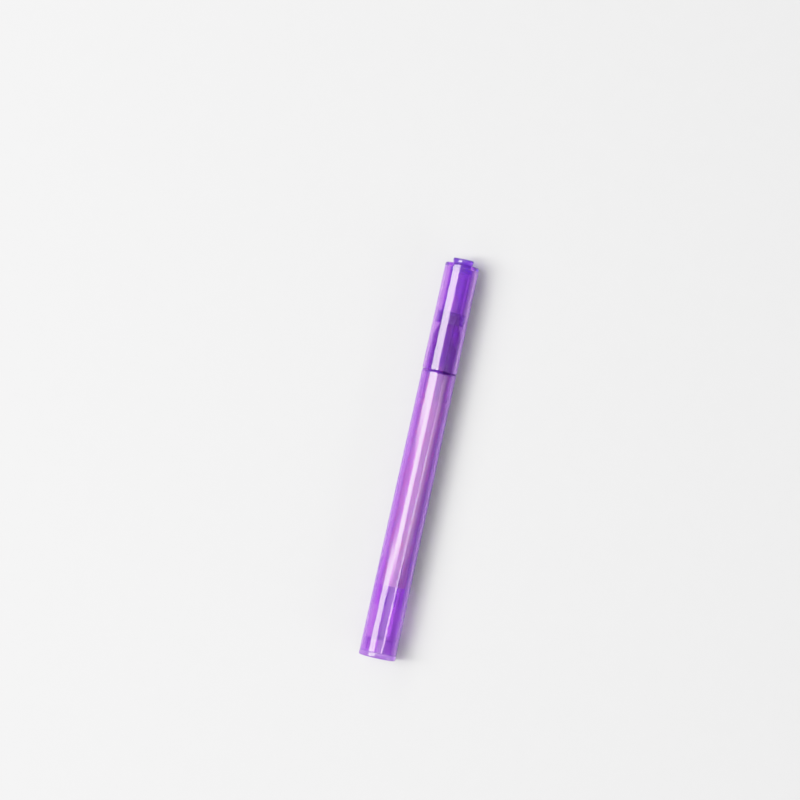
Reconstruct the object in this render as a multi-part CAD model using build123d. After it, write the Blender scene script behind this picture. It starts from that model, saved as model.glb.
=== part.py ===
from build123d import *
import os

# A translucent felt-tip pen, capped. Sizes are in millimetres.
# Heights run along the pen, from its rear face to the button on its cap. Each piece is
# turned upright about Z, and the pen is laid down along X at the end, cap towards +X.

# Barrel, a tapered tube
BARREL_LENGTH = 68.5
BARREL_REAR_DIAMETER = 9.0
BARREL_FRONT_DIAMETER = 8.4
BARREL_WALL = 0.6
BARREL_EDGE_ROUND = 0.12

# Ribs in the barrel that centre the wick's rear end and stop it
RIB_COUNT = 4
RIB_WIDTH = 0.45
RIB_TURN = 18.0
RIB_CRADLE_LENGTH = 6.5
RIB_LEAD = 1.2
RIB_STOP_LENGTH = 5.0
RIB_STOP_REACH = 0.5

# End plug
PLUG_FLANGE_HEIGHT = 1.3
PLUG_SPIGOT_LENGTH = 3.2
PLUG_WALL = 0.7
PLUG_EDGE_ROUND = 0.35
PLUG_LEAD = 0.25
PLUG_DIMPLE_DIAMETER = 2.4
PLUG_DIMPLE_DEPTH = 0.25

# Nib section, from its tail in the barrel to its nose
SPIGOT_LENGTH = 6.8
SPIGOT_WALL = 0.46
FLUTE_COUNT = 6
FLUTE_WIDTH = 0.9
FLUTE_DEPTH = 0.2
FLUTE_STOP = 0.5
FLANGE_HEIGHT = 0.45
FLANGE_INSET = 0.12
FLANGE_EDGE_ROUND = 0.1
COLLAR_LENGTH = 8.4
COLLAR_WALL = 0.95
BEAD_PLACE = 3.0
BEAD_LENGTH = 0.9
BEAD_HEIGHT = 0.06
COLLAR_EDGE_ROUND = 0.4
CONE_LENGTH = 2.9
NOSE_DIAMETER = 4.6
NOSE_LENGTH = 2.25
NOSE_DRAFT = 0.08
NOSE_EDGE_ROUND = 0.25
NIB_GRIP_LENGTH = 5.2
VENT_COUNT = 3
VENT_RADIUS = 0.25

# Fibre nib
NIB_DIAMETER = 2.0
NIB_REACH = 4.9
NIB_POINT_LENGTH = 2.0
NIB_POINT_DIAMETER = 0.8
NIB_POINT_ROUND = 0.3
NIB_TAIL_LENGTH = 4.0
NIB_TAIL_TAPER = 1.0
NIB_TAIL_DIAMETER = 1.1

# Ink wick and its wrap
WICK_LENGTH = 52.3
FILM_THICKNESS = 0.08

# Cap shell
CAP_LENGTH = 26.0
CAP_MOUTH_DIAMETER = 8.48
CAP_TOP_DIAMETER = 8.25
CAP_WALL = 0.65
CAP_ROOF = 0.8
CAP_SHOULDER_ROUND = 0.5
CAP_CORNER_ROUND = 0.3
CAP_EDGE_ROUND = 0.12
CAP_HOLE_DIAMETER = 4.5

# Inner cap, the sealing liner whose button holds it in the cap's top
SLEEVE_SHOULDER = 0.4
SLEEVE_WALL = 0.6
SLEEVE_ROOF = 1.0
SLEEVE_CORNER_ROUND = 0.5
RING_WEB = 0.6
RING_LEAD = 0.2
RING_EDGE_ROUND = 0.15
BUTTON_HEIGHT = 1.3
BUTTON_LIP = 0.1
BUTTON_FLARE = 0.15
BUTTON_ROUND = 0.25

# Clearances: press fits, the wick in its holders, the cap's slide, its seat and its turn
PRESS_CLEARANCE = 0.02
WICK_CLEARANCE = 0.04
SLIDE_CLEARANCE = 0.05
SEAT_GAP = 0.1
SEAL_GAP = 0.15
TURN_CLEARANCE = 0.05

# Heights along the pen
barrel_rear = PLUG_FLANGE_HEIGHT
barrel_front = barrel_rear + BARREL_LENGTH
spigot_rear = barrel_front - SPIGOT_LENGTH
wick_front = barrel_front - PRESS_CLEARANCE
wick_rear = wick_front - WICK_LENGTH
flange_top = barrel_front + FLANGE_HEIGHT
collar_top = flange_top + COLLAR_LENGTH
cone_top = collar_top + CONE_LENGTH
nose_top = cone_top + NOSE_LENGTH
nib_tip = nose_top + NIB_REACH
nib_tail = wick_front - NIB_TAIL_LENGTH
cap_mouth = flange_top + SEAT_GAP
cap_top = cap_mouth + CAP_LENGTH
cap_ceiling = cap_top - CAP_ROOF
ring_mouth = cone_top + SEAL_GAP
ring_floor = nose_top + SEAL_GAP
ring_top = ring_floor + RING_WEB
sleeve_top = cap_ceiling - TURN_CLEARANCE
pen_length = cap_top + BUTTON_HEIGHT


def barrel_radius(height):
    """Outer radius of the barrel's taper at a height."""
    share = (height - barrel_rear) / BARREL_LENGTH
    return (BARREL_REAR_DIAMETER + share * (BARREL_FRONT_DIAMETER - BARREL_REAR_DIAMETER)) / 2


def barrel_bore(height):
    """Inner radius of the barrel at a height."""
    return barrel_radius(height) - BARREL_WALL


def cap_radius(height):
    """Outer radius of the cap's taper at a height."""
    share = (height - cap_mouth) / CAP_LENGTH
    return (CAP_MOUTH_DIAMETER + share * (CAP_TOP_DIAMETER - CAP_MOUTH_DIAMETER)) / 2


def cap_bore(height):
    """Inner radius of the cap shell at a height."""
    return cap_radius(height) - CAP_WALL


# Radii that one piece takes from another
spigot_radius = barrel_bore(barrel_front) - PRESS_CLEARANCE
chamber_radius = spigot_radius - SPIGOT_WALL
film_radius = chamber_radius - WICK_CLEARANCE
wick_radius = film_radius - FILM_THICKNESS
bead_radius = cap_bore(flange_top + BEAD_PLACE + BEAD_LENGTH) - SLIDE_CLEARANCE
collar_radius = bead_radius - BEAD_HEIGHT
nib_radius = NIB_DIAMETER / 2
nib_bore = nib_radius + PRESS_CLEARANCE
nose_radius = NOSE_DIAMETER / 2
hole_radius = CAP_HOLE_DIAMETER / 2
sleeve_radius = hole_radius + SLEEVE_SHOULDER


def turned(*corners):
    """Solid of revolution about Z from corners given as (radius, height) or (radius, height, round)."""
    points = [(corner[0], 0, corner[1]) for corner in corners]
    rounds = [corner[2] if len(corner) > 2 else 0 for corner in corners]
    outline = FilletPolyline(*points, radius=rounds, close=True)
    return revolve(make_face(outline), axis=Axis.Z)


def wick_rib():
    """One rib of the barrel, in the XZ plane: a stop under the wick, then a cradle beside it."""
    rib_rear = wick_rear - RIB_STOP_LENGTH
    rib_front = wick_rear + RIB_CRADLE_LENGTH
    stop_radius = wick_radius - RIB_STOP_REACH
    cradle_radius = film_radius + WICK_CLEARANCE
    root_rear = barrel_bore(rib_rear) + BARREL_WALL / 2
    root_front = barrel_bore(rib_front) + BARREL_WALL / 2
    outline = Polyline(
        (stop_radius, 0, rib_rear),
        (stop_radius, 0, wick_rear - PRESS_CLEARANCE),
        (cradle_radius, 0, wick_rear - PRESS_CLEARANCE),
        (cradle_radius, 0, rib_front - RIB_LEAD),
        (barrel_bore(rib_front), 0, rib_front),
        (root_front, 0, rib_front),
        (root_rear, 0, rib_rear),
        close=True,
    )
    return extrude(make_face(outline), amount=RIB_WIDTH / 2, dir=(0, 1, 0), both=True)


def make_barrel():
    """Tapered tube with an even wall, open at both ends, and its ribs."""
    tube = turned(
        (barrel_bore(barrel_rear), barrel_rear),
        (barrel_radius(barrel_rear), barrel_rear, BARREL_EDGE_ROUND),
        (barrel_radius(barrel_front), barrel_front, BARREL_EDGE_ROUND),
        (barrel_bore(barrel_front), barrel_front),
    )
    ribs = PolarLocations(0, RIB_COUNT, start_angle=180 + RIB_TURN) * wick_rib()
    return tube + ribs


def make_end_plug():
    """Flange flush with the barrel, and a hollow spigot pressed into its bore."""
    spigot_top = barrel_rear + PLUG_SPIGOT_LENGTH
    plug_radius = barrel_bore(spigot_top) - PRESS_CLEARANCE
    hollow_radius = plug_radius - PLUG_WALL
    dimple_radius = PLUG_DIMPLE_DIAMETER / 2
    return turned(
        (0, PLUG_DIMPLE_DEPTH),
        (dimple_radius, PLUG_DIMPLE_DEPTH),
        (dimple_radius, 0),
        (barrel_radius(barrel_rear), 0, PLUG_EDGE_ROUND),
        (barrel_radius(barrel_rear), barrel_rear, BARREL_EDGE_ROUND),
        (plug_radius, barrel_rear),
        (plug_radius, spigot_top - PLUG_LEAD),
        (plug_radius - PLUG_LEAD, spigot_top),
        (hollow_radius, spigot_top),
        (hollow_radius, barrel_rear),
        (0, barrel_rear),
    )


def make_nib_section():
    """Front plug of the barrel: fluted spigot, flange, collar with a bead, cone and nose."""
    flange_radius = barrel_radius(barrel_front) - FLANGE_INSET
    bead_rear = flange_top + BEAD_PLACE
    bead_middle = bead_rear + BEAD_LENGTH / 2
    bead_front = bead_rear + BEAD_LENGTH
    grip_rear = nose_top - NIB_GRIP_LENGTH
    cavity_radius = collar_radius - COLLAR_WALL
    body = turned(
        (chamber_radius, spigot_rear),
        (spigot_radius, spigot_rear),
        (spigot_radius, barrel_front),
        (flange_radius, barrel_front),
        (flange_radius, flange_top, FLANGE_EDGE_ROUND),
        (collar_radius, flange_top),
        (collar_radius, bead_rear),
        (bead_radius, bead_middle, BEAD_LENGTH),
        (collar_radius, bead_front),
        (collar_radius, collar_top, COLLAR_EDGE_ROUND),
        (nose_radius, cone_top),
        (nose_radius - NOSE_DRAFT, nose_top, NOSE_EDGE_ROUND),
        (nib_bore, nose_top),
        (nib_bore, grip_rear),
        (cavity_radius, grip_rear - CONE_LENGTH),
        (cavity_radius, barrel_front),
        (chamber_radius, barrel_front),
    )
    flute = Pos(spigot_radius, 0, spigot_rear) * Box(
        2 * FLUTE_DEPTH, FLUTE_WIDTH, 2 * (SPIGOT_LENGTH - FLUTE_STOP)
    )
    vent = Pos(nib_bore, 0, grip_rear) * Cylinder(
        VENT_RADIUS, NIB_GRIP_LENGTH, align=(Align.CENTER, Align.CENTER, Align.MIN)
    )
    flutes = PolarLocations(0, FLUTE_COUNT, start_angle=180 + RIB_TURN) * flute
    vents = PolarLocations(0, VENT_COUNT) * vent
    return body - flutes - vents


def make_nib():
    """Fibre nib: tapered tail in the wick, shank in the nose and a blunt point."""
    return turned(
        (0, nib_tail),
        (NIB_TAIL_DIAMETER / 2, nib_tail),
        (nib_radius, nib_tail + NIB_TAIL_TAPER),
        (nib_radius, nib_tip - NIB_POINT_LENGTH, NIB_POINT_ROUND),
        (NIB_POINT_DIAMETER / 2, nib_tip, NIB_POINT_ROUND),
        (0, nib_tip),
    )


def make_ink_wick():
    """Fibre rod with the hole that the nib's tail has opened in it."""
    hole_rear = nib_tail - PRESS_CLEARANCE
    return turned(
        (0, wick_rear),
        (wick_radius, wick_rear),
        (wick_radius, wick_front),
        (nib_bore, wick_front),
        (nib_bore, hole_rear + NIB_TAIL_TAPER),
        (NIB_TAIL_DIAMETER / 2 + PRESS_CLEARANCE, hole_rear),
        (0, hole_rear),
    )


def make_wick_film():
    """Thin wrap round the wick, open at both ends."""
    return turned(
        (wick_radius, wick_rear),
        (film_radius, wick_rear),
        (film_radius, wick_front),
        (wick_radius, wick_front),
    )


def make_cap_shell():
    """Cap with an even wall and a roof with the hole for the liner's button."""
    return turned(
        (cap_bore(cap_mouth), cap_mouth),
        (cap_radius(cap_mouth), cap_mouth, CAP_EDGE_ROUND),
        (cap_radius(cap_top), cap_top, CAP_SHOULDER_ROUND),
        (hole_radius, cap_top),
        (hole_radius, cap_ceiling),
        (cap_bore(cap_ceiling), cap_ceiling, CAP_CORNER_ROUND),
    )


def make_inner_cap():
    """Liner: a mouth ring round the nose, a closed sleeve over the nib and a snap-in button."""
    ring_radius = cap_bore(ring_top) - TURN_CLEARANCE
    ring_bore = nose_radius + SLIDE_CLEARANCE
    sleeve_bore = sleeve_radius - SLEEVE_WALL
    neck_radius = hole_radius - TURN_CLEARANCE
    button_base = cap_top + TURN_CLEARANCE
    lip_radius = hole_radius + BUTTON_LIP
    return turned(
        (ring_bore, ring_mouth + RING_LEAD),
        (ring_bore + RING_LEAD, ring_mouth),
        (ring_radius, ring_mouth, RING_EDGE_ROUND),
        (ring_radius, ring_top, RING_EDGE_ROUND),
        (sleeve_radius, ring_top),
        (sleeve_radius, sleeve_top),
        (neck_radius, sleeve_top),
        (neck_radius, button_base),
        (lip_radius, button_base),
        (lip_radius + BUTTON_FLARE, pen_length, BUTTON_ROUND),
        (0, pen_length),
        (0, sleeve_top - SLEEVE_ROOF),
        (sleeve_bore, sleeve_top - SLEEVE_ROOF, SLEEVE_CORNER_ROUND),
        (sleeve_bore, ring_floor),
        (ring_bore, ring_floor),
    )


pieces = {
    "barrel": make_barrel(),
    "end_plug": make_end_plug(),
    "nib_section": make_nib_section(),
    "nib": make_nib(),
    "ink_wick": make_ink_wick(),
    "wick_film": make_wick_film(),
    "cap_shell": make_cap_shell(),
    "inner_cap": make_inner_cap(),
}

# The pen lies on its side on Z = 0, its middle at the origin.
laid_down = Pos(-pen_length / 2, 0, BARREL_REAR_DIAMETER / 2) * Rot(0, 90, 0)

os.makedirs("parts", exist_ok=True)
for name, piece in pieces.items():
    export_step(laid_down * piece, f"parts/{name}.step")
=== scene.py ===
"""Dresses a capped felt-tip pen in clear purple plastic and lights it as its photograph does."""

import logging
import math
from collections.abc import Sequence
from dataclasses import dataclass, replace
from enum import Enum

import bmesh
import bpy
from mathutils import Matrix, Vector

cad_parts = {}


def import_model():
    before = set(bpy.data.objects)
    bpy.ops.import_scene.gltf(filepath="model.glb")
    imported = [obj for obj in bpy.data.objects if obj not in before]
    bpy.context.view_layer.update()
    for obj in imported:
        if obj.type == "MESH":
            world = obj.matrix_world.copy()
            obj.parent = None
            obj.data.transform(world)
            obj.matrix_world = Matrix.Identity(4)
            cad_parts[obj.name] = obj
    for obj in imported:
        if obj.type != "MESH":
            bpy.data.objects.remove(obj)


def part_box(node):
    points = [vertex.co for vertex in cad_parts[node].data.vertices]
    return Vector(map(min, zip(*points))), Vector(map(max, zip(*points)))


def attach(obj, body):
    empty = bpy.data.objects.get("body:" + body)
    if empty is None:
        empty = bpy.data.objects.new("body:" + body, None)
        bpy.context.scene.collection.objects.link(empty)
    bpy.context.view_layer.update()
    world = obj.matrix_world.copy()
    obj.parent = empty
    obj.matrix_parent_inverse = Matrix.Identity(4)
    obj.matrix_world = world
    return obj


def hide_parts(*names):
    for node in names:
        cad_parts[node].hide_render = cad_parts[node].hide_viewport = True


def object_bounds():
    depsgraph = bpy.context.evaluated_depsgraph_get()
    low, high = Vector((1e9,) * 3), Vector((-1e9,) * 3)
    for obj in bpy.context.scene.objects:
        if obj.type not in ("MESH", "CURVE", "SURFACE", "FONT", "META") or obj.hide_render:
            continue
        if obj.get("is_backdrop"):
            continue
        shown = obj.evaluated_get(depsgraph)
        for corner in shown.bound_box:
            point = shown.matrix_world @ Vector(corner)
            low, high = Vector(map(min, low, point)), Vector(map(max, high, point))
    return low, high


log = logging.getLogger("pen")

Colour = tuple[float, float, float]
Stops = tuple[tuple[float, Colour], ...]
Socket = bpy.types.NodeSocket

MM = 0.001
WHITE: Colour = (1.0, 1.0, 1.0)

# Fineness of the turned meshes
FACETS = 192
ROUND_STEPS = 6
SHARP_ANGLE = math.radians(38.0)

# Reach of a merge, of a cut and of a skin's panels, in millimetres
MERGE_REACH = 1e-5
CUT_REACH = 1e-6
SKIN_REACH = 0.12

# Air between pressed pieces, in millimetres
FIT_GAP = 0.02

# Part of a noise's range that is used
NOISE_LOW = 0.3
NOISE_HIGH = 0.7

# Shortest rise of a light's edge, as a share of its length
SHORTEST_FADE = 1e-3

# Place of the curve for all three colours among the view's curves
COMBINED_CURVE = 3


class Body(Enum):
    """Rigid bodies of the pen, by their names in the frame."""

    PEN = "pen_body"
    LINER = "cap_liner"
    CAP = "cap"


class Slot(Enum):
    """Material slots of the record."""

    PLASTIC = "purple_plastic"
    NIB = "nib_fibre"
    WICK = "wick_fibre"
    FILM = "clear_film"


class Edge(float, Enum):
    """Roundings of the pieces' edges, from the finest to the broadest, in millimetres."""

    HAIR = 0.05
    FINE = 0.06
    CRISP = 0.08
    LIGHT = 0.1
    GENTLE = 0.15
    LEADING = 0.2
    SOFT = 0.25
    FULL = 0.3
    WIDE = 0.4
    BROAD = 0.5


@dataclass(frozen=True)
class Corner:
    """One corner of a turned outline, in millimetres.

    Attributes:
        height: Distance along the pen from its rear face.
        radius: Distance from the pen's axis.
        round: Radius of the rounded corner, or 0 for a sharp one.
    """

    height: float
    radius: float
    round: float = 0.0


@dataclass(frozen=True)
class Span:
    """Where a piece lies along the pen, in millimetres.

    Attributes:
        rear: Height of its rear end above the pen's rear face.
        front: Height of its front end.
        radius: Its largest radius.
    """

    rear: float
    front: float
    radius: float


@dataclass(frozen=True)
class PanelRing:
    """Narrow panels round a turned skin, which become ribs or grooves, in millimetres.

    Attributes:
        rear: Height where the panels start.
        front: Height where they end.
        skin: Radius of the skin they are cut from, at the panels' middle.
        radius: Radius that they are pushed to.
        count: Number of panels, evenly spaced.
        turn: Direction of the first one's middle, in degrees from straight up.
        width: Width of a panel round the axis.
    """

    rear: float
    front: float
    skin: float
    radius: float
    count: int
    turn: float
    width: float

    def holds(self, face: bmesh.types.BMFace) -> bool:
        """Tells whether a face belongs to one of the panels.

        Args:
            face: The face.

        Returns:
            True if its middle lies in a panel.
        """
        middle = face.calc_center_median()
        off_skin = abs(math.hypot(middle.y, middle.z) - self.skin)
        if not self.rear < middle.x < self.front or off_skin > SKIN_REACH:
            return False
        step = 360.0 / self.count
        turn = math.degrees(math.atan2(-middle.y, middle.z)) - self.turn
        off_middle = abs((turn + step / 2) % step - step / 2)
        return off_middle < math.degrees(self.width / 2 / self.skin)


class PenFrame:
    """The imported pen: its nodes, its axis and the step from millimetres to the frame."""

    def __init__(self) -> None:
        """Loads the frame and keeps the box of the solids."""
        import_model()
        self.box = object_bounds()
        low, high = self.box
        self.middle = (low + high) / 2
        self.rear = low.x
        self.placing = Matrix.Translation((low.x, 0.0, self.middle.z)) @ Matrix.Scale(MM, 4)

    def span(self, node: str) -> Span:
        """Measures a node of the frame.

        Args:
            node: Name of the node.

        Returns:
            Its place along the pen.
        """
        low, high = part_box(node)
        return Span((low.x - self.rear) / MM, (high.x - self.rear) / MM, (high.y - low.y) / 2 / MM)


class TurnedShape:
    """A closed mesh turned about the pen's axis, which is X here, in millimetres."""

    def __init__(self, corners: Sequence[Corner]) -> None:
        """Draws the outline, rounds its corners and spins it.

        Args:
            corners: The outline, in order. It closes on itself.
        """
        self.mesh = bmesh.new()
        points = [self.mesh.verts.new((corner.height, corner.radius, 0.0)) for corner in corners]
        for here, after in zip(points, points[1:] + points[:1]):
            if max(here.co.y, after.co.y) > 0.0:
                self.mesh.edges.new((here, after))
        for point, corner in zip(points, corners):
            if corner.round > 0.0:
                self._round(point, corner.round)
        bmesh.ops.spin(
            self.mesh, geom=self.mesh.verts[:] + self.mesh.edges[:], cent=(0, 0, 0), axis=(1, 0, 0),
            dvec=(0, 0, 0), angle=2 * math.pi, steps=FACETS, use_merge=True, use_duplicate=False,
        )
        bmesh.ops.remove_doubles(self.mesh, verts=self.mesh.verts[:], dist=MERGE_REACH)
        bmesh.ops.recalc_face_normals(self.mesh, faces=self.mesh.faces[:])

    def _round(self, point: bmesh.types.BMVert, radius: float) -> None:
        """Rounds one corner of the outline.

        Args:
            point: The corner's vertex.
            radius: Radius of the arc that replaces it.
        """
        ways = [edge.other_vert(point).co - point.co for edge in point.link_edges]
        half = ways[0].angle(ways[1]) / 2
        bmesh.ops.bevel(
            self.mesh, geom=[point], offset=radius / math.tan(half), offset_type="OFFSET",
            affect="VERTICES", segments=ROUND_STEPS, profile=0.5, material=-1,
        )

    def ring_cut(self, height: float) -> None:
        """Cuts an edge loop square to the axis.

        Args:
            height: Where the loop lies.
        """
        everything = self.mesh.verts[:] + self.mesh.edges[:] + self.mesh.faces[:]
        bmesh.ops.bisect_plane(
            self.mesh, geom=everything, dist=CUT_REACH, plane_co=(height, 0, 0), plane_no=(1, 0, 0)
        )

    def push_panels(self, panels: PanelRing) -> None:
        """Pushes narrow panels of a turned skin in or out, which makes ribs and grooves.

        Args:
            panels: The panels.
        """
        picked = [face for face in self.mesh.faces if panels.holds(face)]
        rims = list(dict.fromkeys(edge for face in picked for edge in face.edges))
        pushed = bmesh.ops.extrude_face_region(self.mesh, geom=picked + rims)["geom"]
        for vert in (item for item in pushed if isinstance(item, bmesh.types.BMVert)):
            grow = panels.radius / math.hypot(vert.co.y, vert.co.z)
            vert.co.y *= grow
            vert.co.z *= grow
        bmesh.ops.recalc_face_normals(self.mesh, faces=self.mesh.faces[:])

    def finish(self, name: str, placing: Matrix) -> bpy.types.Object:
        """Makes the mesh an object of the scene, in the frame's metres.

        Args:
            name: Name of the piece.
            placing: Step from millimetres along the pen to the frame.

        Returns:
            The new object, with smooth skins and sharp edges.
        """
        bmesh.ops.transform(self.mesh, matrix=placing, verts=self.mesh.verts[:])
        for face in self.mesh.faces:
            face.smooth = True
        for edge in self.mesh.edges:
            edge.smooth = len(edge.link_faces) == 2 and edge.calc_face_angle() < SHARP_ANGLE
        data = bpy.data.meshes.new(name)
        self.mesh.to_mesh(data)
        self.mesh.free()
        piece = bpy.data.objects.new(name, data)
        bpy.context.scene.collection.objects.link(piece)
        weighted = piece.modifiers.new("even_shading", "WEIGHTED_NORMAL")
        weighted.keep_sharp = True
        return piece


@dataclass(frozen=True)
class Grain:
    """A noise on Object coordinates that varies a finish.

    Attributes:
        scale: Cycles of the noise per metre along X, Y and Z.
        detail: Octaves of the noise.
        contrast: How strongly the finer octaves show.
    """

    scale: tuple[float, float, float]
    detail: float
    contrast: float = 0.5


FLOW_LINES = Grain((30.0, 420.0, 420.0), 3.0)
MOULD_CLOUDS = Grain((90.0, 260.0, 260.0), 4.0)
FILM_CREASES = Grain((60.0, 500.0, 500.0), 2.0)
FLOOR_FIBRES = Grain((220.0, 220.0, 220.0), 5.0)


class NodeSheet:
    """Shorthand for laying out the nodes of one material."""

    def __init__(self, name: str) -> None:
        """Starts an empty material.

        Args:
            name: Name of the material.
        """
        self.material = bpy.data.materials.new(name)
        self.material.use_nodes = True
        self.tree = self.material.node_tree
        self.tree.nodes.clear()

    def add(self, kind: str, **values: object) -> bpy.types.Node:
        """Adds a node and sets its inputs, or its own settings where no input has the name.

        Args:
            kind: Blender's name of the node type.
            **values: Inputs and settings, with spaces written as underscores.

        Returns:
            The node.
        """
        node = self.tree.nodes.new(kind)
        for key, value in values.items():
            socket = node.inputs.get(key.replace("_", " "))
            if socket is not None:
                socket.default_value = value
            else:
                setattr(node, key, value)
        return node

    def join(self, source: Socket, target: Socket) -> None:
        """Links two sockets."""
        self.tree.links.new(source, target)

    def grain(self, grain: Grain) -> Socket:
        """Adds a noise.

        Args:
            grain: What the noise is like.

        Returns:
            The noise's value.
        """
        where = self.add("ShaderNodeTexCoord")
        stretch = self.add("ShaderNodeMapping", Scale=grain.scale)
        noise = self.add("ShaderNodeTexNoise", Scale=1.0, Detail=grain.detail, Roughness=grain.contrast)
        self.join(where.outputs["Object"], stretch.inputs["Vector"])
        self.join(stretch.outputs["Vector"], noise.inputs["Vector"])
        return noise.outputs["Fac"]

    def spread(self, value: Socket, low: float, high: float) -> Socket:
        """Maps the middle of a noise to a range of numbers.

        Args:
            value: The noise.
            low: Result at the noise's low end.
            high: Result at its high end.

        Returns:
            The mapped value.
        """
        mapped = self.add(
            "ShaderNodeMapRange", From_Min=NOISE_LOW, From_Max=NOISE_HIGH, To_Min=low, To_Max=high
        )
        self.join(value, mapped.inputs["Value"])
        return mapped.outputs["Result"]

    def tones(self, value: Socket, dark: Colour, light: Colour) -> Socket:
        """Maps the middle of a noise to a range of colours.

        Args:
            value: The noise.
            dark: Colour at the noise's low end.
            light: Colour at its high end.

        Returns:
            The colour.
        """
        ramp = self.add("ShaderNodeValToRGB")
        first, last = ramp.color_ramp.elements
        first.position, first.color = NOISE_LOW, (*dark, 1.0)
        last.position, last.color = NOISE_HIGH, (*light, 1.0)
        self.join(value, ramp.inputs["Fac"])
        return ramp.outputs["Color"]

    def rings(self, stops: Stops, base: float) -> Socket:
        """Adds colours that change along the pen.

        Args:
            stops: Heights in millimetres, rising, with the colour at each.
            base: X in metres that the heights are measured from.

        Returns:
            The colour.
        """
        where = self.add("ShaderNodeTexCoord")
        parts = self.add("ShaderNodeSeparateXYZ")
        self.join(where.outputs["Object"], parts.inputs["Vector"])
        first, last = stops[0][0], stops[-1][0]
        share = self.add("ShaderNodeMapRange", From_Min=base + first * MM, From_Max=base + last * MM)
        self.join(parts.outputs["X"], share.inputs["Value"])
        ramp = self.add("ShaderNodeValToRGB")
        elements = ramp.color_ramp.elements
        for place, _ in stops[1:-1]:
            elements.new((place - first) / (last - first))
        for element, (_, colour) in zip(elements, stops):
            element.color = (*colour, 1.0)
        self.join(share.outputs["Result"], ramp.inputs["Fac"])
        return ramp.outputs["Color"]

    def core(self, axis: float, edge: float) -> Socket:
        """Tells the inner skin of a turned wall from its outer one.

        Args:
            axis: Height of the pen's axis in metres.
            edge: Radius in the middle of the wall, in millimetres.

        Returns:
            1 on the inner skin and 0 on the outer one.
        """
        where = self.add("ShaderNodeTexCoord")
        across = self.add("ShaderNodeVectorMath", operation="MULTIPLY_ADD")
        across.inputs[1].default_value = (0.0, 1.0, 1.0)
        across.inputs[2].default_value = (0.0, 0.0, -axis)
        radius = self.add("ShaderNodeVectorMath", operation="LENGTH")
        inside = self.add("ShaderNodeMath", operation="LESS_THAN")
        inside.inputs[1].default_value = edge * MM
        self.join(where.outputs["Object"], across.inputs[0])
        self.join(across.outputs["Vector"], radius.inputs[0])
        self.join(radius.outputs["Value"], inside.inputs[0])
        return inside.outputs["Value"]

    def raised(self, value: Socket, share: Socket, step: float) -> Socket:
        """Raises a value where a mask is set.

        Args:
            value: The value.
            share: The mask.
            step: What is added where the mask is 1.

        Returns:
            The raised value.
        """
        total = self.add("ShaderNodeMath", operation="MULTIPLY_ADD")
        total.inputs[1].default_value = step
        self.join(share, total.inputs[0])
        self.join(value, total.inputs[2])
        return total.outputs["Value"]

    def times(self, one: Socket, other: Socket) -> Socket:
        """Multiplies two colours.

        Args:
            one: The first colour.
            other: The second colour.

        Returns:
            Their product.
        """
        mix = self.add("ShaderNodeMix", data_type="RGBA", blend_type="MULTIPLY", Factor=1.0)
        colours = [socket for socket in mix.inputs if socket.type == "RGBA"]
        for source, target in zip((one, other), colours):
            self.join(source, target)
        return next(socket for socket in mix.outputs if socket.type == "RGBA")

    def relief(self, value: Socket, depth: float, shader: bpy.types.Node) -> None:
        """Gives a shader fine relief.

        Args:
            value: The relief's height, from 0 to 1.
            depth: Depth of the relief in metres.
            shader: The shader whose normal it bends.
        """
        bump = self.add("ShaderNodeBump", Strength=1.0, Distance=depth)
        self.join(value, bump.inputs["Height"])
        self.join(bump.outputs["Normal"], shader.inputs["Normal"])

    def close(self, shader: bpy.types.Node, inside: bpy.types.Node | None = None) -> bpy.types.Material:
        """Joins the shader, and the volume if there is one, to the output.

        Args:
            shader: Shader of the surface.
            inside: Shader of the volume.

        Returns:
            The finished material.
        """
        output = self.add("ShaderNodeOutputMaterial")
        self.join(shader.outputs[0], output.inputs["Surface"])
        if inside is not None:
            self.join(inside.outputs[0], output.inputs["Volume"])
        return self.material


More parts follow.
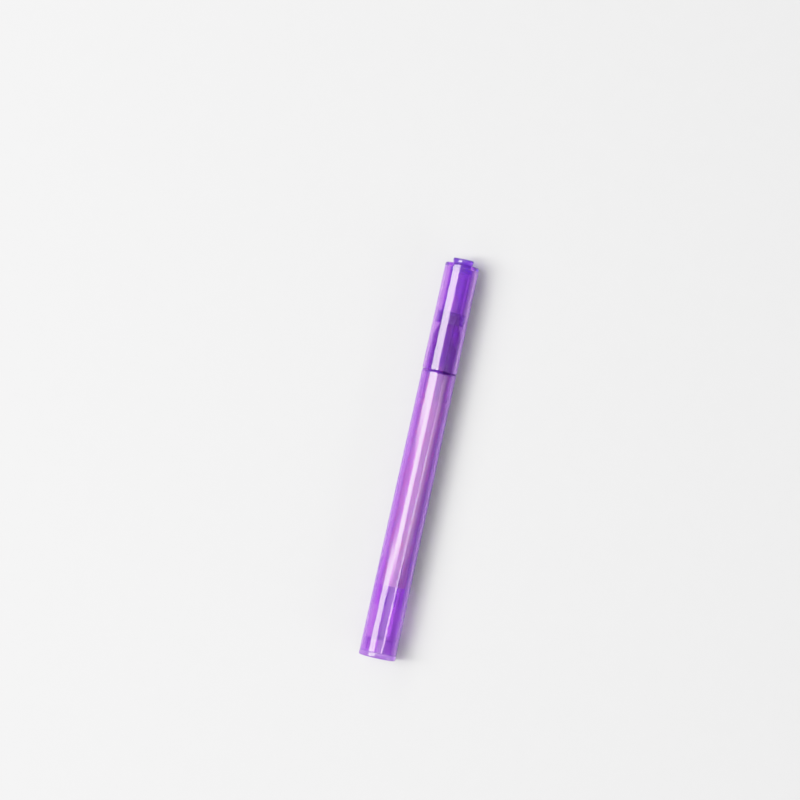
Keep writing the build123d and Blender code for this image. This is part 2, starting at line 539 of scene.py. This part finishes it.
@dataclass(frozen=True)
class ClearPlastic:
    """Moulded clear plastic with a dye in it, so that thick stretches look deeper.

    Attributes:
        name: Name of the finish.
        tint: Darkest and lightest colour of the skin, which light takes on as it goes through.
        dye: Colour that the dye inside lets through.
        density: Strength of that dye, per metre.
        haze: Lowest and highest roughness of the skin.
        bloom: How strongly the body scatters light.
        bloom_tint: Colour of that scattered light.
        core: Radius in the middle of the wall, in millimetres.
        core_haze: How much rougher the inner skin is, or 0 where both skins are alike.
        bloom_haze: Roughness of the scattering.
        clearness: Share of the light that goes through instead of being scattered at the skin.
        bend: Refractive index.
        rings: Heights in millimetres, rising, with colours that deepen the tint there, such as painted
            shade at the seam.
        ring_base: Height above the pen's rear face that the rings are measured from, in millimetres.
        ring_haze: How much rougher the skin is where those colours are white, or less rough below 0.
    """

    name: str
    tint: tuple[Colour, Colour]
    dye: Colour
    density: float
    haze: tuple[float, float]
    bloom: float
    bloom_tint: Colour
    core: float
    core_haze: float
    bloom_haze: float = 0.9
    clearness: float = 1.0
    bend: float = 1.5
    rings: Stops = ()
    ring_base: float = 0.0
    ring_haze: float = 0.0

    def material(self, frame: PenFrame) -> bpy.types.Material:
        """Makes the finish.

        Args:
            frame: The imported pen.

        Returns:
            The material.
        """
        sheet = NodeSheet(self.name)
        shader = sheet.add(
            "ShaderNodeBsdfPrincipled", IOR=self.bend, Transmission_Weight=self.clearness,
            Sheen_Weight=self.bloom, Sheen_Roughness=self.bloom_haze, Sheen_Tint=(*self.bloom_tint, 1.0),
        )
        tint = sheet.tones(sheet.grain(FLOW_LINES), *self.tint)
        haze = sheet.spread(sheet.grain(MOULD_CLOUDS), *self.haze)
        if self.rings:
            rings = sheet.rings(self.rings, frame.rear + self.ring_base * MM)
            tint = sheet.times(tint, rings)
            haze = sheet.raised(haze, rings, self.ring_haze)
        if self.core_haze:
            haze = sheet.raised(haze, sheet.core(frame.middle.z, self.core), self.core_haze)
        sheet.join(tint, shader.inputs["Base Color"])
        sheet.join(haze, shader.inputs["Roughness"])
        inside = sheet.add("ShaderNodeVolumeAbsorption", Color=(*self.dye, 1.0), Density=self.density)
        return sheet.close(shader, inside)


@dataclass(frozen=True)
class BundledFibre:
    """Fibres laid along the pen and pressed together.

    Attributes:
        name: Name of the finish.
        shade: Colour between the fibres.
        light: Colour of the fibres.
        strand_width: Width of a strand of fibres in millimetres.
        depth: Depth of the relief in metres.
        glow: How far light spreads inside the bundle, in millimetres.
        glow_tint: How far red, green and blue light spread, as shares of that.
        strand_run: Length of a strand in widths.
        strand_detail: Octaves of the strands' noise.
        strand_contrast: How strongly the finest strands show.
        haze: Roughness between the fibres and on them.
        fuzz: How strongly stray fibres catch the light.
        bend: Refractive index.
    """

    name: str
    shade: Colour
    light: Colour
    strand_width: float
    depth: float
    glow: float
    glow_tint: Colour = (1.0, 0.6, 0.5)
    strand_run: float = 40.0
    strand_detail: float = 3.0
    strand_contrast: float = 0.6
    haze: tuple[float, float] = (0.9, 0.7)
    fuzz: float = 0.15
    bend: float = 1.45

    def material(self) -> bpy.types.Material:
        """Makes the finish.

        Returns:
            The material.
        """
        sheet = NodeSheet(self.name)
        shader = sheet.add(
            "ShaderNodeBsdfPrincipled", IOR=self.bend, Sheen_Weight=self.fuzz, Subsurface_Weight=1.0,
            Subsurface_Radius=self.glow_tint, Subsurface_Scale=self.glow * MM,
        )
        across = 1.0 / (self.strand_width * MM)
        scale = (across / self.strand_run, across, across)
        strands = sheet.grain(Grain(scale, self.strand_detail, self.strand_contrast))
        sheet.join(sheet.tones(strands, self.shade, self.light), shader.inputs["Base Color"])
        sheet.join(sheet.spread(strands, *self.haze), shader.inputs["Roughness"])
        sheet.relief(strands, self.depth, shader)
        return sheet.close(shader)


@dataclass(frozen=True)
class ClearWrap:
    """Thin clear film with faint creases.

    Attributes:
        name: Name of the finish.
        crease: Depth of the creases in metres.
        tint: Colour in the creases and between them.
        haze: Roughness in the creases and between them.
        bend: Refractive index.
    """

    name: str
    crease: float
    tint: tuple[Colour, Colour] = ((0.98, 0.97, 0.98), WHITE)
    haze: tuple[float, float] = (0.08, 0.16)
    bend: float = 1.35

    def material(self) -> bpy.types.Material:
        """Makes the finish.

        Returns:
            The material.
        """
        sheet = NodeSheet(self.name)
        shader = sheet.add("ShaderNodeBsdfPrincipled", IOR=self.bend, Transmission_Weight=1.0)
        creases = sheet.grain(FILM_CREASES)
        sheet.join(sheet.tones(creases, *self.tint), shader.inputs["Base Color"])
        sheet.join(sheet.spread(creases, *self.haze), shader.inputs["Roughness"])
        sheet.relief(creases, self.crease, shader)
        return sheet.close(shader)


@dataclass(frozen=True)
class PaleFloor:
    """Plain pale floor with a faint grain.

    Attributes:
        name: Name of the finish.
        tone: Its colour.
        mottle: How much of that colour is left where the grain is darkest.
        haze: Roughness.
        gloss: How strongly it mirrors.
    """

    name: str
    tone: Colour
    mottle: float = 0.985
    haze: float = 0.9
    gloss: float = 0.1

    def material(self) -> bpy.types.Material:
        """Makes the finish.

        Returns:
            The material.
        """
        sheet = NodeSheet(self.name)
        shader = sheet.add("ShaderNodeBsdfPrincipled", Roughness=self.haze, Specular_IOR_Level=self.gloss)
        darker = tuple(self.mottle * part for part in self.tone)
        sheet.join(sheet.tones(sheet.grain(FLOOR_FIBRES), darker, self.tone), shader.inputs["Base Color"])
        return sheet.close(shader)


# Painted shade at the seam in the nib section's flange, a darker collar under the cap, and deeper colours
# on the rear face and at the liner's mouth
SEAM_PAINTED_SHADE: Colour = (0.45, 0.16, 0.72)
COLLAR_TINT: Colour = (0.42, 0.14, 0.60)
REAR_TINT: Colour = (0.70, 0.40, 1.0)
MOUTH_TINT: Colour = (0.38, 0.22, 0.52)

BARREL_PLASTIC = ClearPlastic(
    name="clear_purple", tint=((0.94, 0.69, 1.0), (1.0, 0.78, 1.0)), dye=(0.60, 0.10, 0.97), density=800.0,
    haze=(0.025, 0.045), bloom=0.2, bloom_tint=(0.50, 0.12, 1.0), core=4.05, core_haze=0.16,
)
CAP_PLASTIC = replace(
    BARREL_PLASTIC, name="deep_purple", tint=((0.87, 0.63, 1.0), (0.93, 0.71, 1.0)), density=400.0,
    bloom=0.28, bloom_tint=(0.52, 0.13, 1.0), core=3.85, core_haze=0.15,
)
LINER_PLASTIC = replace(
    CAP_PLASTIC, name="liner_purple", density=700.0, haze=(0.12, 0.20), bloom=0.25, core_haze=0.0,
    rings=((-0.1, MOUTH_TINT), (0.1, WHITE)),
)
# The section's rings paint the seam's shade into the flange's colour and make the collar darker
SECTION_PLASTIC = replace(
    BARREL_PLASTIC, name="light_purple", tint=((0.98, 0.96, 1.0), (1.0, 0.99, 1.0)), density=10.0,
    haze=(0.20, 0.28), bloom=0.03, bloom_tint=(0.45, 0.10, 0.95), core_haze=0.0, bend=1.12,
    rings=((-0.4, WHITE), (-0.1, SEAM_PAINTED_SHADE), (0.5, SEAM_PAINTED_SHADE), (0.8, COLLAR_TINT)), ring_haze=-0.14,
)
PLUG_PLASTIC = replace(
    BARREL_PLASTIC, name="hazy_purple", tint=((0.94, 0.86, 1.0), (0.99, 0.94, 1.0)), density=30.0,
    haze=(0.10, 0.16), bloom=0.3, core_haze=0.0, clearness=0.8, rings=((1.0, REAR_TINT), (1.4, WHITE)),
)
WARM_WICK = BundledFibre(
    name="warm_bundle", shade=(1.0, 0.88, 0.66), light=(1.0, 0.96, 0.76), strand_width=0.12, depth=2e-5,
    glow=5.0,
)
WHITE_NIB = BundledFibre(
    name="white_felt", shade=(0.74, 0.70, 0.68), light=(0.90, 0.88, 0.86), strand_width=0.07, depth=1.5e-5,
    glow=0.5,
)
CLEAR_WRAP = ClearWrap(name="thin_wrap", crease=5e-6)
PALE_FLOOR = PaleFloor(name="pale_floor", tone=(0.65, 0.65, 0.65))


@dataclass
class Assembly:
    """A group of pieces that are built and dressed together, with its sizes in millimetres.

    Attributes:
        frame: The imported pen.
    """

    frame: PenFrame

    def dress(
        self, shape: TurnedShape, name: str, finish: bpy.types.Material, node: str, slot: Slot,
        body: Body = Body.PEN,
    ) -> None:
        """Makes a shape a piece with its finish, in the place of its node.

        Args:
            shape: The turned shape.
            name: Name of the piece.
            finish: Its material.
            node: The node of the frame that it stands for.
            slot: Its material slot in the record; not used.
            body: The body that carries it.
        """
        piece = shape.finish(name, self.frame.placing)
        piece.data.materials.append(finish)
        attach(piece, body.value)
        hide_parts(node)
        log.info("%s: %d faces, rides on %s", piece.name, len(piece.data.polygons), body.value)


@dataclass
class BarrelAssembly(Assembly):
    """The tapered barrel with its inner ribs, and the plug in its rear end.

    Attributes:
        front_radius: Outer radius at the seam.
        wall: Thickness of the wall.
        edge_round: Rounding of the outer edges where the barrel and the plug meet.
        rib_count: Ribs round the bore.
        rib_turn: Direction of the first rib, in degrees from straight up.
        rib_width: Width of a rib.
        rib_reach: Length of the ribs beside the wick.
        rib_stop: Length of their stops behind the wick.
        rib_step: How far the stops reach in under the wick.
        plug_flange: Thickness of the plug's flange.
        plug_wall: Wall of the plug's spigot.
        plug_round: Rounding of the rear edge.
        dimple: Radius and depth of the dimple in the rear face.
    """

    front_radius: float = 4.2
    wall: float = 0.6
    edge_round: float = 0.12
    rib_count: int = 4
    rib_turn: float = 18.0
    rib_width: float = 0.45
    rib_reach: float = 6.5
    rib_stop: float = 5.0
    rib_step: float = 0.5
    plug_flange: float = 1.3
    plug_wall: float = 0.7
    plug_round: float = 0.35
    dimple: tuple[float, float] = (1.2, 0.25)

    def bore(self, height: float) -> float:
        """Works out the radius of the bore.

        Args:
            height: Where it is wanted.

        Returns:
            The radius there.
        """
        tube = self.frame.span("barrel")
        share = (height - tube.rear) / (tube.front - tube.rear)
        return tube.radius + share * (self.front_radius - tube.radius) - self.wall

    def build_tube(self) -> None:
        """Makes and dresses the barrel."""
        tube, wick, film = (self.frame.span(node) for node in ("barrel", "ink_wick", "wick_film"))
        rear = tube.rear + FIT_GAP
        shape = TurnedShape([
            Corner(rear, self.bore(rear), Edge.FINE),
            Corner(rear, tube.radius, self.edge_round),
            Corner(tube.front, self.front_radius, Edge.FINE),
            Corner(tube.front, self.bore(tube.front), Edge.FINE),
        ])
        ribs = PanelRing(
            rear=wick.rear - self.rib_stop, front=wick.rear + self.rib_reach, skin=self.bore(wick.rear),
            radius=film.radius + 2 * FIT_GAP, count=self.rib_count, turn=self.rib_turn,
            width=self.rib_width,
        )
        stops = replace(
            ribs, front=wick.rear - FIT_GAP, skin=ribs.radius, radius=wick.radius - self.rib_step
        )
        for height in (ribs.rear, stops.front, ribs.front):
            shape.ring_cut(height)
        shape.push_panels(ribs)
        shape.push_panels(stops)
        self.dress(shape, "barrel_tube", BARREL_PLASTIC.material(self.frame), "barrel", Slot.PLASTIC)

    def build_plug(self) -> None:
        """Makes and dresses the plug."""
        plug = self.frame.span("end_plug")
        spigot = self.bore(plug.front) - FIT_GAP
        hollow = spigot - self.plug_wall
        dimple_radius, dimple_depth = self.dimple
        shape = TurnedShape([
            Corner(dimple_depth, 0.0),
            Corner(dimple_depth, dimple_radius, Edge.LIGHT),
            Corner(0.0, dimple_radius, Edge.CRISP),
            Corner(0.0, plug.radius, self.plug_round),
            Corner(self.plug_flange, plug.radius, self.edge_round),
            Corner(self.plug_flange, spigot),
            Corner(plug.front, spigot, Edge.SOFT),
            Corner(plug.front, hollow, Edge.LIGHT),
            Corner(self.plug_flange, hollow, Edge.FULL),
            Corner(self.plug_flange, 0.0),
        ])
        finish = replace(PLUG_PLASTIC, ring_base=plug.rear).material(self.frame)
        self.dress(shape, "rear_plug", finish, "end_plug", Slot.PLASTIC)

    def build(self) -> None:
        """Builds and dresses both pieces."""
        self.build_tube()
        self.build_plug()


@dataclass
class NibAssembly(Assembly):
    """The nib section in the barrel's mouth, and the fibre nib in its nose.

    Attributes:
        spigot_radius: Outer radius of the tail in the barrel.
        chamber_radius: Radius of the chamber that takes the wick.
        collar_radius: Radius of the collar under the cap.
        flange: Height of the flange at the seam.
        bead: Height of the grip bead above the flange, its length and how far it stands out.
        bead_round: Rounding of the bead's crown.
        cone: Length of the cone.
        nose: Radius and length of the nose.
        nose_draft: How much narrower the nose is at its front.
        collar_wall: Wall of the hollow collar.
        grip: Length of the nib's bore.
        flutes: Number, width and depth of the flutes on the tail.
        flute_turn: Direction of the first flute, in degrees from straight up.
        flute_stop: Length between the flutes and the flange.
        vents: Number, width and depth of the air vents beside the nib.
        vent_turn: Direction of the first vent, in degrees from straight up.
        groove_margin: What a flute or a vent leaves of the edge it starts from.
        point: Length and end radius of the nib's point.
        tail: Length and end radius of the nib's tapered tail.
    """

    spigot_radius: float = 3.58
    chamber_radius: float = 3.12
    collar_radius: float = 3.463
    flange: float = 0.45
    bead: tuple[float, float, float] = (3.0, 0.9, 0.06)
    bead_round: float = 0.9
    cone: float = 2.9
    nose: tuple[float, float] = (2.3, 2.25)
    nose_draft: float = 0.08
    collar_wall: float = 0.95
    grip: float = 5.2
    flutes: tuple[int, float, float] = (6, 0.9, 0.2)
    flute_turn: float = 18.0
    flute_stop: float = 0.5
    vents: tuple[int, float, float] = (3, 0.45, 0.22)
    vent_turn: float = 180.0
    groove_margin: float = 0.05
    point: tuple[float, float] = (2.0, 0.4)
    tail: tuple[float, float] = (1.0, 0.55)

    def build_section(self) -> None:
        """Makes and dresses the nib section."""
        section, nib, tube = (self.frame.span(node) for node in ("nib_section", "nib", "barrel"))
        seam = tube.front + FIT_GAP
        collar_rear = seam + self.flange
        nose_radius, nose_length = self.nose
        cone_top = section.front - nose_length
        bead_place, bead_length, bead_height = self.bead
        bead_rear = collar_rear + bead_place
        bore = nib.radius + FIT_GAP
        grip_rear = section.front - self.grip
        cavity = self.collar_radius - self.collar_wall
        shape = TurnedShape([
            Corner(section.rear, self.chamber_radius, Edge.LIGHT),
            Corner(section.rear, self.spigot_radius, Edge.LIGHT),
            Corner(seam, self.spigot_radius),
            Corner(seam, section.radius, Edge.FINE),
            Corner(collar_rear, section.radius, Edge.LIGHT),
            Corner(collar_rear, self.collar_radius, Edge.GENTLE),
            Corner(bead_rear, self.collar_radius, Edge.FULL),
            Corner(bead_rear + bead_length / 2, self.collar_radius + bead_height, self.bead_round),
            Corner(bead_rear + bead_length, self.collar_radius, Edge.FULL),
            Corner(cone_top - self.cone, self.collar_radius, Edge.WIDE),
            Corner(cone_top, nose_radius, Edge.LEADING),
            Corner(section.front, nose_radius - self.nose_draft, Edge.SOFT),
            Corner(section.front, bore, Edge.CRISP),
            Corner(grip_rear, bore),
            Corner(grip_rear - self.cone, cavity, Edge.FULL),
            Corner(seam, cavity, Edge.LIGHT),
            Corner(seam, self.chamber_radius, Edge.HAIR),
        ])
        count, width, depth = self.flutes
        flutes = PanelRing(
            rear=section.rear + self.groove_margin, front=seam - self.flute_stop, skin=self.spigot_radius,
            radius=self.spigot_radius - depth, count=count, turn=self.flute_turn, width=width,
        )
        count, width, depth = self.vents
        vents = PanelRing(
            rear=grip_rear, front=section.front - self.groove_margin, skin=bore, radius=bore + depth,
            count=count, turn=self.vent_turn, width=width,
        )
        shape.ring_cut(flutes.front)
        shape.push_panels(flutes)
        shape.push_panels(vents)
        finish = replace(SECTION_PLASTIC, ring_base=tube.front).material(self.frame)
        self.dress(shape, "nib_holder", finish, "nib_section", Slot.PLASTIC)

    def build_nib(self) -> None:
        """Makes and dresses the nib."""
        nib = self.frame.span("nib")
        point_length, point_radius = self.point
        tail_length, tail_radius = self.tail
        shape = TurnedShape([
            Corner(nib.rear, 0.0),
            Corner(nib.rear, tail_radius, Edge.LIGHT),
            Corner(nib.rear + tail_length, nib.radius, Edge.FULL),
            Corner(nib.front - point_length, nib.radius, Edge.BROAD),
            Corner(nib.front, point_radius, Edge.FULL),
            Corner(nib.front, 0.0),
        ])
        self.dress(shape, "fibre_nib", WHITE_NIB.material(), "nib", Slot.NIB)

    def build(self) -> None:
        """Builds and dresses both pieces."""
        self.build_section()
        self.build_nib()


@dataclass
class InkReservoir(Assembly):
    """The fibre wick that holds the ink, and the film round it.

    Attributes:
        film: Thickness of the film.
        end_round: Rounding of the wick's ends.
        tail: Radius and depth of the hole that the nib's tail has opened.
    """

    film: float = 0.06
    end_round: float = 0.12
    tail: tuple[float, float] = (1.02, 4.02)

    def build_wick(self) -> None:
        """Makes and dresses the wick."""
        wick = self.frame.span("ink_wick")
        hole_radius, hole_depth = self.tail
        shape = TurnedShape([
            Corner(wick.rear, 0.0),
            Corner(wick.rear, wick.radius, self.end_round),
            Corner(wick.front, wick.radius, self.end_round),
            Corner(wick.front, hole_radius, Edge.LIGHT),
            Corner(wick.front - hole_depth, hole_radius),
            Corner(wick.front - hole_depth, 0.0),
        ])
        self.dress(shape, "fibre_wick", WARM_WICK.material(), "ink_wick", Slot.WICK)

    def build_film(self) -> None:
        """Makes and dresses the film."""
        film = self.frame.span("wick_film")
        inner = film.radius - self.film
        shape = TurnedShape([
            Corner(film.rear, inner),
            Corner(film.rear, film.radius),
            Corner(film.front, film.radius),
            Corner(film.front, inner),
        ])
        self.dress(shape, "wick_wrap", CLEAR_WRAP.material(), "wick_film", Slot.FILM)

    def build(self) -> None:
        """Builds and dresses both pieces."""
        self.build_wick()
        self.build_film()


@dataclass
class CapAssembly(Assembly):
    """The cap's shell, and the liner whose button shows on its top.

    Attributes:
        top_radius: Outer radius of the shell at its top.
        wall: Wall of the shell.
        roof: Thickness of the shell's roof.
        hole: Radius of the roof's hole.
        turn_gap: Air between the liner and the shell.
        ring_bore: Radius of the liner's mouth.
        ring_floor: Depth of the liner's mouth.
        ring_height: Height of the mouth ring.
        sleeve: Outer and inner radius of the liner's sleeve.
        sleeve_roof: Thickness above the sleeve's hollow.
        button: Radius of the button at its foot and at its top.
    """

    top_radius: float = 4.125
    wall: float = 0.65
    roof: float = 0.8
    hole: float = 2.25
    turn_gap: float = 0.05
    ring_bore: float = 2.35
    ring_floor: float = 2.25
    ring_height: float = 2.85
    sleeve: tuple[float, float] = (2.65, 2.05)
    sleeve_roof: float = 1.0
    button: tuple[float, float] = (2.35, 2.5)

    def build_shell(self) -> None:
        """Makes and dresses the shell."""
        shell = self.frame.span("cap_shell")
        ceiling = shell.front - self.roof
        slope = (self.top_radius - shell.radius) / (shell.front - shell.rear)
        shape = TurnedShape([
            Corner(shell.rear, shell.radius - self.wall, Edge.LIGHT),
            Corner(shell.rear, shell.radius, Edge.FINE),
            Corner(shell.front, self.top_radius, Edge.BROAD),
            Corner(shell.front, self.hole, Edge.CRISP),
            Corner(ceiling, self.hole),
            Corner(ceiling, shell.radius + slope * (ceiling - shell.rear) - self.wall, Edge.FULL),
        ])
        finish = CAP_PLASTIC.material(self.frame)
        self.dress(shape, "cap_body", finish, "cap_shell", Slot.PLASTIC, Body.CAP)

    def build_liner(self) -> None:
        """Makes and dresses the liner."""
        liner, shell = self.frame.span("inner_cap"), self.frame.span("cap_shell")
        outer, inner = self.sleeve
        foot, top = self.button
        neck = self.hole - self.turn_gap
        sleeve_top = shell.front - self.roof - self.turn_gap
        hollow_top = sleeve_top - self.sleeve_roof
        button_rear = shell.front + self.turn_gap
        ring_top = liner.rear + self.ring_height
        ring_floor = liner.rear + self.ring_floor
        shape = TurnedShape([
            Corner(liner.rear, self.ring_bore, Edge.LEADING),
            Corner(liner.rear, liner.radius, Edge.GENTLE),
            Corner(ring_top, liner.radius, Edge.GENTLE),
            Corner(ring_top, outer, Edge.GENTLE),
            Corner(sleeve_top, outer, Edge.CRISP),
            Corner(sleeve_top, neck),
            Corner(button_rear, neck),
            Corner(button_rear, foot, Edge.FINE),
            Corner(liner.front, top, Edge.SOFT),
            Corner(liner.front, 0.0),
            Corner(hollow_top, 0.0),
            Corner(hollow_top, inner, Edge.BROAD),
            Corner(ring_floor, inner, Edge.FINE),
            Corner(ring_floor, self.ring_bore, Edge.LIGHT),
        ])
        finish = replace(LINER_PLASTIC, ring_base=ring_top).material(self.frame)
        self.dress(shape, "sealing_liner", finish, "inner_cap", Slot.PLASTIC, Body.LINER)

    def build(self) -> None:
        """Builds and dresses both pieces."""
        self.build_shell()
        self.build_liner()


@dataclass(frozen=True)
class Panel:
    """A soft light panel that faces the pen.

    Attributes:
        name: Name of the light.
        tilt: Angle of its middle from straight up, in degrees.
        spread: Angle that it covers as the pen sees it, in degrees, measured along the tilt.
        along: Where its other two ends lie, in metres from the pen's middle.
        radiance: Brightness of its face.
        fade: Share of its length over which it fades to nothing at its rear and front end.
        soft: Share of its width over which it fades to nothing at either side.
        roll: Turn of the panel in its own plane, in degrees.
        distance: Distance from the pen in metres.
    """

    name: str
    tilt: float
    spread: float
    along: tuple[float, float]
    radiance: float
    fade: tuple[float, float] = (0.0, 0.0)
    soft: float = 0.0
    roll: float = 0.0
    distance: float = 1.1

    def place(self, pen: Vector) -> None:
        """Adds the light to the scene.

        Args:
            pen: Middle of the pen.
        """
        rear, front = self.along
        data = bpy.data.lights.new(self.name, "AREA")
        data.shape = "RECTANGLE"
        data.size = front - rear
        data.size_y = 2 * self.distance * math.tan(math.radians(self.spread / 2))
        data.energy = self.radiance * math.pi * data.size * data.size_y
        if any(self.fade) or self.soft:
            self._fade_edges(data)
        lamp = bpy.data.objects.new(self.name, data)
        tilted = Matrix.Rotation(-math.radians(self.tilt), 4, "X")
        away = Matrix.Translation(((rear + front) / 2, 0.0, self.distance))
        rolled = Matrix.Rotation(math.radians(self.roll), 4, "Z")
        lamp.matrix_world = Matrix.Translation(pen) @ tilted @ away @ rolled
        bpy.context.scene.collection.objects.link(lamp)

    def _fade_edges(self, data: bpy.types.AreaLight) -> None:
        """Dims the panel towards its edges.

        Args:
            data: The light.
        """
        data.use_nodes = True
        tree = data.node_tree
        emission = next(node for node in tree.nodes if node.type == "EMISSION")
        where = tree.nodes.new("ShaderNodeNewGeometry")
        parts = tree.nodes.new("ShaderNodeSeparateXYZ")
        tree.links.new(where.outputs["Parametric"], parts.inputs["Vector"])
        product = tree.nodes.new("ShaderNodeMath")
        product.operation = "MULTIPLY"
        for place, (way, fade) in enumerate((("X", self.fade), ("Y", (self.soft, self.soft)))):
            ramp = tree.nodes.new("ShaderNodeValToRGB")
            self._set_ramp(ramp.color_ramp, *fade)
            tree.links.new(parts.outputs[way], ramp.inputs["Fac"])
            tree.links.new(ramp.outputs["Color"], product.inputs[place])
        tree.links.new(product.outputs["Value"], emission.inputs["Strength"])

    @staticmethod
    def _set_ramp(ramp: bpy.types.ColorRamp, first: float, last: float) -> None:
        """Makes a ramp that rises from black, stays white and falls to black again.

        Args:
            ramp: The ramp.
            first: Where it has risen, or 0 where it starts white.
            last: How long it falls, or 0 where it ends white.
        """
        ramp.interpolation = "EASE"
        for place in (max(first, SHORTEST_FADE), 1.0 - max(last, SHORTEST_FADE)):
            ramp.elements.new(place)
        for element, value in zip(ramp.elements, (float(first == 0.0), 1.0, 1.0, float(last == 0.0))):
            element.color = (value, value, value, 1.0)


@dataclass
class Studio:
    """Floor, light and camera.

    Attributes:
        frame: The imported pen.
        lean: How far the pen leans clockwise from upright in the picture, in degrees.
        picture: Side of the square picture in pixels.
        pen_pixel: Where the pen's middle lies in the picture.
        pixel: Size of a pixel at the pen, in metres.
        camera_height: Distance from the camera to the pen's axis, in metres.
        nearest: Distance from the camera where its view starts, in metres.
        sensor: Width of the camera's sensor in millimetres.
        bounces: How often light is followed, and how often through clear pieces.
        gloss_bounces: How often mirrored light is followed.
        fill: Brightness of the surroundings.
        floor_side: Side of the floor in metres.
        shoulder: Brightness of light, rising, and how bright it is shown.
        panels: The light panels.
    """

    frame: PenFrame
    lean: float = 12.34
    picture: int = 800
    pen_pixel: tuple[float, float] = (420.3, 458.5)
    pixel: float = 0.2396 * MM
    camera_height: float = 1.0
    nearest: float = 0.01
    sensor: float = 36.0
    bounces: int = 32
    gloss_bounces: int = 8
    fill: float = 0.03
    floor_side: float = 6.0
    shoulder: tuple[tuple[float, float], ...] = (
        (0.2, 0.2), (0.4, 0.4), (0.7, 0.645), (1.0, 0.81), (1.5, 0.94), (2.4, 1.0)
    )
    panels: tuple[Panel, ...] = (
        Panel("key_rear", 38.0, 46.0, (-0.40, -0.13), 4.0),
        Panel("key_front", 38.0, 24.0, (0.13, 0.60), 3.9),
        Panel("gleam_rear", 38.0, 12.0, (-1.60, -0.60), 9.0, soft=0.15),
        Panel("gleam_front", 38.0, 12.0, (0.60, 1.60), 9.0, soft=0.15),
        Panel("cap_panel", 37.0, 46.0, (0.040, 0.12), 15.0, distance=1.08),
        Panel("wick_panel", 21.0, 28.0, (-0.076, 0.040), 14.0, fade=(0.30, 0.0), soft=0.06, distance=1.06),
        Panel("seam_panel", 47.5, 25.0, (-0.010, 0.040), 14.0, fade=(0.8, 0.0), distance=1.04),
        Panel("rear_panel", 43.0, 35.0, (-0.13, -0.036), 14.0, fade=(0.0, 0.36), soft=0.1, distance=1.04),
        Panel("button_panel", 38.0, 40.0, (-0.24, -0.13), 29.0, distance=1.06),
        Panel("barrel_overhead", -9.0, 46.0, (-0.14, 0.043), 2.8, fade=(0.0, 0.025), soft=0.2),
        Panel("cap_overhead", -9.0, 46.0, (0.043, 0.13), 0.3),
        Panel("front_overhead", -9.0, 46.0, (0.13, 0.60), 0.2),
        Panel("edge_strip", -28.5, 34.0, (-0.088, -0.034), 11.0, soft=0.3, roll=19.4, distance=1.08),
        Panel("wick_side", -48.0, 40.0, (-0.075, 0.040), 3.0, fade=(0.3, 0.02), soft=0.4),
        Panel("side_rear", -75.0, 30.0, (-0.60, -0.14), 5.0),
        Panel("side_gleam_rear", -60.0, 10.0, (-1.60, -0.60), 8.0, soft=0.15),
        Panel("side_gleam_front", -60.0, 8.0, (0.60, 1.60), 5.0, soft=0.15),
    )

    def build_floor(self) -> None:
        """Lays the floor under the pen."""
        mesh = bmesh.new()
        bmesh.ops.create_grid(mesh, x_segments=1, y_segments=1, size=self.floor_side / 2)
        data = bpy.data.meshes.new("floor")
        mesh.to_mesh(data)
        mesh.free()
        floor = bpy.data.objects.new("floor", data)
        floor.data.materials.append(PALE_FLOOR.material())
        bpy.context.scene.collection.objects.link(floor)
        floor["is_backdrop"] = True

    def build_light(self) -> None:
        """Places the panels and the even light of the surroundings."""
        for panel in self.panels:
            panel.place(self.frame.middle)
        world = bpy.data.worlds.new("surroundings")
        world.use_nodes = True
        background = world.node_tree.nodes["Background"]
        background.inputs["Color"].default_value = (*WHITE, 1.0)
        background.inputs["Strength"].default_value = self.fill
        bpy.context.scene.world = world

    def build_camera(self) -> None:
        """Sets the camera straight above, turned so that the pen leans as in the photograph."""
        lean = math.radians(self.lean)
        up = Vector((math.cos(lean), math.sin(lean), 0.0))
        right = Vector((math.sin(lean), -math.cos(lean), 0.0))
        back = Vector((0.0, 0.0, 1.0))
        across, down = (place - self.picture / 2 for place in self.pen_pixel)
        target = self.frame.middle + self.pixel * (down * up - across * right)
        data = bpy.data.cameras.new("camera")
        data.sensor_width = self.sensor
        data.lens = self.sensor * self.camera_height / (self.picture * self.pixel)
        data.clip_start = self.nearest
        camera = bpy.data.objects.new("camera", data)
        turn = Matrix((right, up, back)).transposed().to_4x4()
        camera.matrix_world = Matrix.Translation(target + self.camera_height * back) @ turn
        bpy.context.scene.collection.objects.link(camera)
        bpy.context.scene.camera = camera

    def soften_highlights(self) -> None:
        """Shows bright light with a soft shoulder, as a camera does."""
        view = bpy.context.scene.view_settings
        view.view_transform = "Standard"
        view.use_curve_mapping = True
        mapping = view.curve_mapping
        mapping.clip_max_x = self.shoulder[-1][0]
        curve = mapping.curves[COMBINED_CURVE]
        curve.points[1].location = self.shoulder[-1]
        for light, shown in self.shoulder[:-1]:
            curve.points.new(light, shown)
        mapping.update()

    def build(self) -> None:
        """Builds the whole stage and sets how light is traced and shown."""
        self.build_floor()
        self.build_light()
        self.build_camera()
        self.soften_highlights()
        cycles = bpy.context.scene.cycles
        cycles.max_bounces = self.bounces
        cycles.transmission_bounces = self.bounces
        cycles.glossy_bounces = self.gloss_bounces


def main() -> None:
    """Builds the pen's assemblies in order, then the stage round them."""
    logging.basicConfig(level=logging.INFO, format="%(name)s: %(message)s")
    frame = PenFrame()
    for kind in (BarrelAssembly, NibAssembly, InkReservoir, CapAssembly):
        kind(frame).build()
    Studio(frame).build()


if __name__ == "__main__":
    main()
